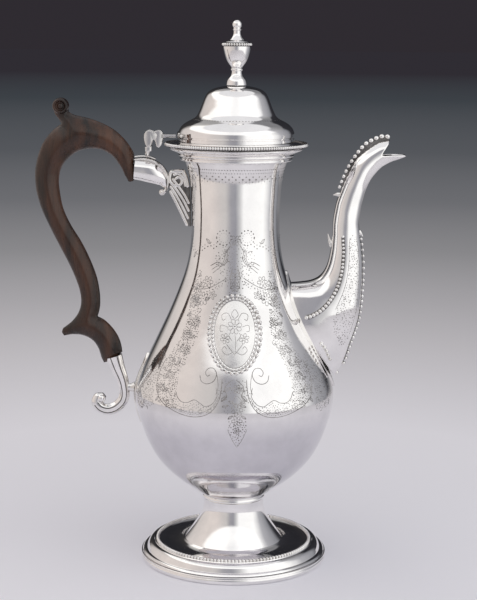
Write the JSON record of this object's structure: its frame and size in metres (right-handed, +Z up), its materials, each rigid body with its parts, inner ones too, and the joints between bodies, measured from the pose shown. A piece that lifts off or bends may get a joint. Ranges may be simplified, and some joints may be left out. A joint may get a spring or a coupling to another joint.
{
  "type": "silver coffee pot",
  "caption": "Pear-shaped coffee pot on a trumpet foot with a beaded S spout, hinged domed lid with urn finial, and a carved wood scroll handle.",
  "frame": {"origin": "bottom centre of the whole pot's bounding box, on the surface it stands on", "axes": "+Z up, +X towards the spout, -X towards the handle, -Y towards the engraved front"},
  "size_m": [0.2283, 0.1248, 0.3375],
  "materials": {
    "silver": "polished sterling silver, softly worn",
    "silver_trim": "polished silver beading and chased ornament, darker in the recesses",
    "pins": "drawn silver wire",
    "wood": "dark reddish brown hardwood, waxed"
  },
  "bodies": {
    "pot": {"body": "silver", "lip_moulding": "silver", "foot_collar": "silver", "foot_stem": "silver", "foot_dish": "silver", "foot_bead_ring": "silver_trim", "foot_rim": "silver", "spout": "silver", "spout_flange": "silver", "spout_crest": "silver_trim", "spout_beads_near": "silver_trim", "spout_beads_far": "silver_trim", "spout_beads_front": "silver_trim", "spout_spur_crest": "silver_trim", "spout_thorn_back": "silver_trim", "spout_thorn_front": "silver_trim", "spout_drop": "silver_trim", "upper_socket": "silver", "upper_scroll_strap": "silver_trim", "upper_backplate": "silver", "upper_handle_pin": "pins", "wood_handle": "wood", "lower_socket_scroll": "silver", "lower_strut": "silver", "lower_backplate": "silver", "lower_handle_pin": "pins", "hinge_bracket": "silver", "hinge_pin": "pins"},
    "lid": {"hinge_leaf": "silver", "lid_hinge_plate": "silver", "lid_shell": "silver", "lid_bead_band": "silver_trim", "lid_bezel": "silver", "finial_foot": "silver", "finial_urn": "silver", "finial_bead_ring": "silver_trim", "finial_cap": "silver", "finial_stud": "silver", "finial_washer": "silver", "finial_nut": "silver"}
  },
  "joints": [
    {"name": "lid_hinge", "type": "hinge", "parent": "pot", "child": "lid", "pos_m": [-0.0408, 0, 0.2673], "axis": [0, -1, 0], "range_deg": [0, 95]}
  ]
}
